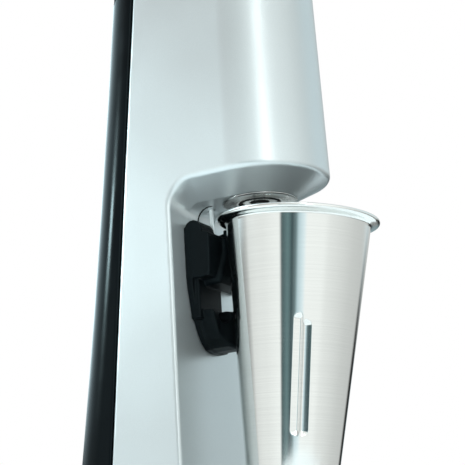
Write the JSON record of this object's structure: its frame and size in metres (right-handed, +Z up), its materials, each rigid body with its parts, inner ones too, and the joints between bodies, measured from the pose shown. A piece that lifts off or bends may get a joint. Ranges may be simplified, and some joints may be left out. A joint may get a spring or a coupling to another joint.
{
  "type": "milkshake mixer",
  "caption": "Countertop single-spindle drink mixer: leaning silver tower, black rear cover, hanging stainless cup, motor head, cup-operated sensor rod and speed rocker.",
  "frame": {"origin": "on the counter, at the centre of the footprint", "axes": "+Z up, front of the mixer towards -Y, +X to the right for someone facing its front"},
  "size_m": [0.17, 0.204, 0.4889],
  "materials": {
    "silver_paint": "satin metallic silver paint on an aluminium casting",
    "black_cover": "satin black moulding",
    "black_plastic": "fine textured black plastic",
    "holder_plastic": "black glass-filled nylon, fine spark texture",
    "stainless": "spun and polished stainless steel",
    "bearing_steel": "ground steel",
    "zinc_steel": "bright zinc plate",
    "rubber": "moulded black rubber",
    "copper": "enamelled copper",
    "lamination": "stacked steel laminations",
    "carbon": "pressed carbon",
    "brass": "stamped brass",
    "circuit_board": "green solder resist",
    "white_plastic": "natural acetal"
  },
  "bodies": {
    "housing": {"base_housing": "silver_paint", "base_plate": "zinc_steel", "body_casting": "silver_paint", "brush_holder_left": "brass", "brush_holder_right": "brass", "carbon_brush_left": "carbon", "carbon_brush_right": "carbon", "column_screw_1": "zinc_steel", "column_screw_2": "zinc_steel", "column_screw_3": "zinc_steel", "column_screw_4": "zinc_steel", "control_board": "circuit_board", "cover_screw_1": "zinc_steel", "cover_screw_2": "zinc_steel", "cover_screw_3": "zinc_steel", "cover_screw_4": "zinc_steel", "cup_holder": "holder_plastic", "field_coil_front": "copper", "field_coil_rear": "copper", "foot_front_left": "rubber", "foot_front_right": "rubber", "foot_rear_left": "rubber", "foot_rear_right": "rubber", "holder_screw_left": "zinc_steel", "holder_screw_right": "zinc_steel", "lower_bearing": "bearing_steel", "lower_bracket": "zinc_steel", "mains_inlet": "black_plastic", "micro_switch": "black_plastic", "plate_screw_1": "zinc_steel", "plate_screw_2": "zinc_steel", "plate_screw_3": "zinc_steel", "plate_screw_4": "zinc_steel", "rear_cover": "black_cover", "rocker_bezel": "black_plastic", "rod_spring": "stainless", "rubber_mount_left": "rubber", "rubber_mount_right": "rubber", "seal_retainer": "stainless", "shaft_seal": "rubber", "splash_collar": "stainless", "stator_core": "lamination", "through_bolt_left": "zinc_steel", "through_bolt_right": "zinc_steel", "upper_bearing": "bearing_steel", "upper_bracket": "zinc_steel", "wiring_loom": "rubber"},
    "spindle": {"spindle_shaft": "stainless", "agitator_disc": "stainless", "agitator_nut": "stainless", "rotor_core": "lamination", "rotor_winding_lower": "copper", "rotor_winding_upper": "copper", "commutator": "copper", "cooling_fan": "black_plastic"},
    "cup": {"mixing_cup": "stainless"},
    "sensor": {"sensor_rod": "stainless"},
    "plunger": {"switch_plunger": "white_plastic"},
    "rocker": {"speed_rocker": "black_plastic"}
  },
  "joints": [
    {"name": "spindle_spin", "type": "hinge", "parent": "housing", "child": "spindle", "pos_m": [0, -0.0197, 0.3], "axis": [0, 0.0698, 0.9976], "continuous": true},
    {"name": "cup_lift", "type": "slide", "parent": "housing", "child": "cup", "axis": [0, -0.0349, 0.9994], "range_m": [0, 0.008]},
    {"name": "sensor_rod_slide", "type": "slide", "parent": "housing", "child": "sensor", "axis": [0, 0.0698, 0.9976], "range_m": [0, 0.0034], "deforming": ["rod_spring"]},
    {"name": "switch_plunger_slide", "type": "slide", "parent": "housing", "child": "plunger", "axis": [0, 0.0698, 0.9976], "range_m": [0, 0.0014]},
    {"name": "speed_rocker_tilt", "type": "hinge", "parent": "housing", "child": "rocker", "pos_m": [0, -0.0962, 0.02], "axis": [0, 0, 1], "range_deg": [-9, 9]}
  ],
  "couplings": [
    {"joint": "sensor_rod_slide", "follows": "cup_lift", "ratio": 0.4},
    {"joint": "switch_plunger_slide", "follows": "cup_lift", "ratio": 0.15}
  ]
}
